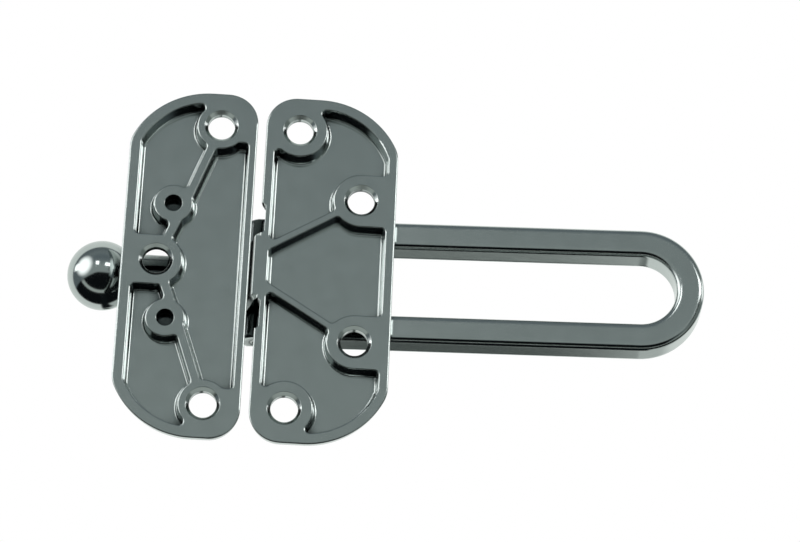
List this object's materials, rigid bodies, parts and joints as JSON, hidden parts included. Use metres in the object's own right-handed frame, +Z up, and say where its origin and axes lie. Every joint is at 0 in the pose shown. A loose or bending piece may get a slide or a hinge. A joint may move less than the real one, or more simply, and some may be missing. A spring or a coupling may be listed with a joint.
{
  "type": "door guard",
  "caption": "Swing bar door guard: a half-moon plate with a bent finger that ends in a ball, beside a half-moon plate that carries a hinged U-shaped bar.",
  "frame": {"origin": "in the wall plane, at mid height, behind the hinge pin's axis; the point lies on the bar plate's back", "axes": "+Z up along the hinge pin, +Y into the wall out of the plates' backs, +X towards the ball plate"},
  "size_m": [0.1229, 0.0181, 0.0698],
  "materials": {
    "plating": "bright plated casting",
    "pin_steel": "satin"
  },
  "bodies": {
    "plates": {"bar_plate": "plating", "ball_plate": "plating", "hinge_pin": "pin_steel"},
    "bar": {"swing_bar": "plating"}
  },
  "joints": [
    {"name": "bar_swing", "type": "hinge", "parent": "plates", "child": "bar", "pos_m": [0, -0.0106, 0], "axis": [0, 0, 1], "range_deg": [0, 188.8]}
  ]
}
